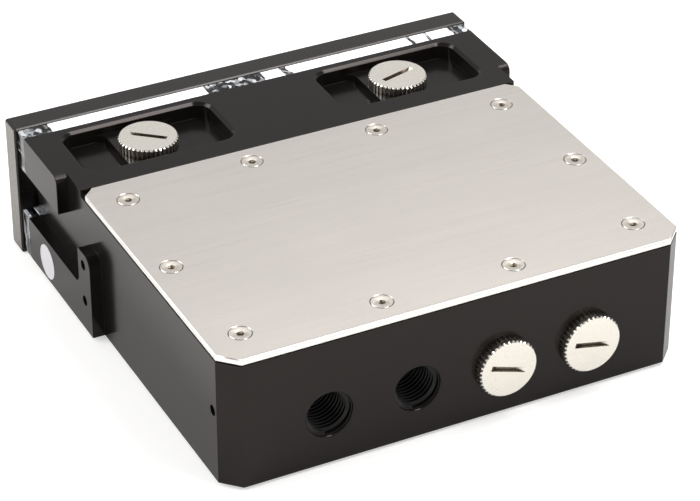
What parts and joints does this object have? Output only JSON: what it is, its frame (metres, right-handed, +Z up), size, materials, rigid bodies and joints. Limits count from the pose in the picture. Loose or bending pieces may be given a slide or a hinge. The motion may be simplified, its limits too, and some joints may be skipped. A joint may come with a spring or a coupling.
{
  "type": "drive bay reservoir",
  "caption": "Coolant reservoir for a computer's drive bay: black machined tank, bright top plate, clear block behind a windowed bezel, knurled fill caps and threaded rear ports.",
  "frame": {"origin": "centre of the whole object's footprint, at the bezel's lower edge", "axes": "+X to the right across the bay, -Y out of the front, +Z up"},
  "size_m": [0.148, 0.1452, 0.042],
  "materials": {
    "black_anodised_aluminium": "satin anodised",
    "clear_acrylic": "polished",
    "black_acetal": "machined satin",
    "brushed_plate": "brushed",
    "black_rubber": "matt",
    "stainless_screws": "bright",
    "black_screws": "black oxide",
    "nickel_plated_brass": "nickel plated",
    "white_paper": "matt"
  },
  "bodies": {
    "reservoir": {"front_bezel": "black_anodised_aluminium", "window_block": "clear_acrylic", "reservoir_body": "black_acetal", "top_plate": "brushed_plate", "tank_seal": "black_rubber", "window_seal_right": "black_rubber", "window_seal_left": "black_rubber", "plate_screws": "stainless_screws", "bezel_screws": "black_screws", "blank_sticker": "white_paper"},
    "fill_cap_right_seal": {"fill_cap_right_seal": "black_rubber"},
    "fill_cap_right": {"fill_cap_right": "nickel_plated_brass"},
    "fill_cap_left_seal": {"fill_cap_left_seal": "black_rubber"},
    "fill_cap_left": {"fill_cap_left": "nickel_plated_brass"},
    "port_plug_inner_seal": {"port_plug_inner_seal": "black_rubber"},
    "port_plug_inner": {"port_plug_inner": "nickel_plated_brass"},
    "port_plug_outer_seal": {"port_plug_outer_seal": "black_rubber"},
    "port_plug_outer": {"port_plug_outer": "nickel_plated_brass"}
  },
  "joints": [
    {"name": "fill_cap_right_travel", "type": "slide", "parent": "reservoir", "child": "fill_cap_right_seal", "axis": [0, 0, 1], "range_m": [0, 0.00935]},
    {"name": "fill_cap_right_turn", "type": "hinge", "parent": "fill_cap_right_seal", "child": "fill_cap_right", "pos_m": [0.0404, -0.04515, 0.0386], "axis": [0, 0, 1], "range_deg": [0, 2520]},
    {"name": "fill_cap_left_travel", "type": "slide", "parent": "reservoir", "child": "fill_cap_left_seal", "axis": [0, 0, 1], "range_m": [0, 0.00935]},
    {"name": "fill_cap_left_turn", "type": "hinge", "parent": "fill_cap_left_seal", "child": "fill_cap_left", "pos_m": [-0.0404, -0.04515, 0.0386], "axis": [0, 0, 1], "range_deg": [0, 2520]},
    {"name": "port_plug_inner_travel", "type": "slide", "parent": "reservoir", "child": "port_plug_inner_seal", "axis": [0, 1, 0], "range_m": [0, 0.00935]},
    {"name": "port_plug_inner_turn", "type": "hinge", "parent": "port_plug_inner_seal", "child": "port_plug_inner", "pos_m": [-0.01305, 0.0696, 0.0165], "axis": [0, 1, 0], "range_deg": [0, 2520]},
    {"name": "port_plug_outer_travel", "type": "slide", "parent": "reservoir", "child": "port_plug_outer_seal", "axis": [0, 1, 0], "range_m": [0, 0.00935]},
    {"name": "port_plug_outer_turn", "type": "hinge", "parent": "port_plug_outer_seal", "child": "port_plug_outer", "pos_m": [-0.03915, 0.0696, 0.0165], "axis": [0, 1, 0], "range_deg": [0, 2520]}
  ],
  "couplings": [
    {"joint": "fill_cap_right_turn", "follows": "fill_cap_right_travel", "rad_per_m": 4699.5},
    {"joint": "fill_cap_left_turn", "follows": "fill_cap_left_travel", "rad_per_m": 4699.5},
    {"joint": "port_plug_inner_turn", "follows": "port_plug_inner_travel", "rad_per_m": 4699.5},
    {"joint": "port_plug_outer_turn", "follows": "port_plug_outer_travel", "rad_per_m": 4699.5}
  ]
}
